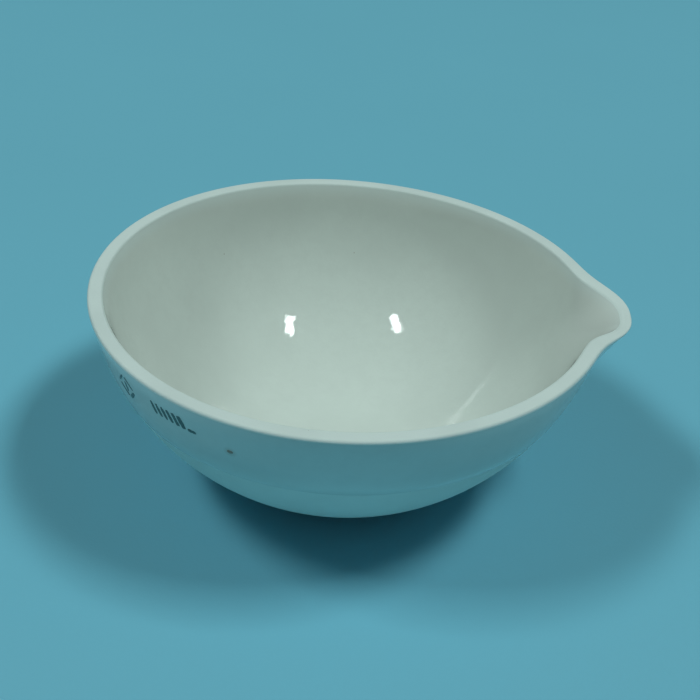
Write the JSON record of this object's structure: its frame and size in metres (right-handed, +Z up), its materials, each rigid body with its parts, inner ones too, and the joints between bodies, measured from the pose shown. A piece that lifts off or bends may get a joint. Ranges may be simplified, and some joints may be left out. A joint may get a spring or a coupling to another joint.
{
  "type": "evaporating dish",
  "caption": "Round white porcelain evaporating dish with a pouring lip, glazed bowl, bare rim and a small flat bare base.",
  "frame": {"origin": "centre of the flat base, on the surface that the dish stands on", "axes": "+Z up through the open bowl, +X towards the pouring lip, +Y to the left of someone who looks along the lip"},
  "size_m": [0.0844, 0.0802, 0.032],
  "materials": {
    "bare_porcelain": "bare fired porcelain, matt",
    "inner_glaze": "clear gloss glaze over white porcelain",
    "outer_glaze": "clear gloss glaze over white porcelain",
    "stamp_print": "dark green print fired into the glaze",
    "iron_speck": "brown iron speck fired into the glaze"
  },
  "bodies": {
    "root": {"porcelain_body": "bare_porcelain", "inner_glaze": "inner_glaze", "outer_glaze": "outer_glaze", "stamp_badge": "stamp_print", "stamp_bars": "stamp_print", "iron_speck": "iron_speck"}
  },
  "joints": []
}
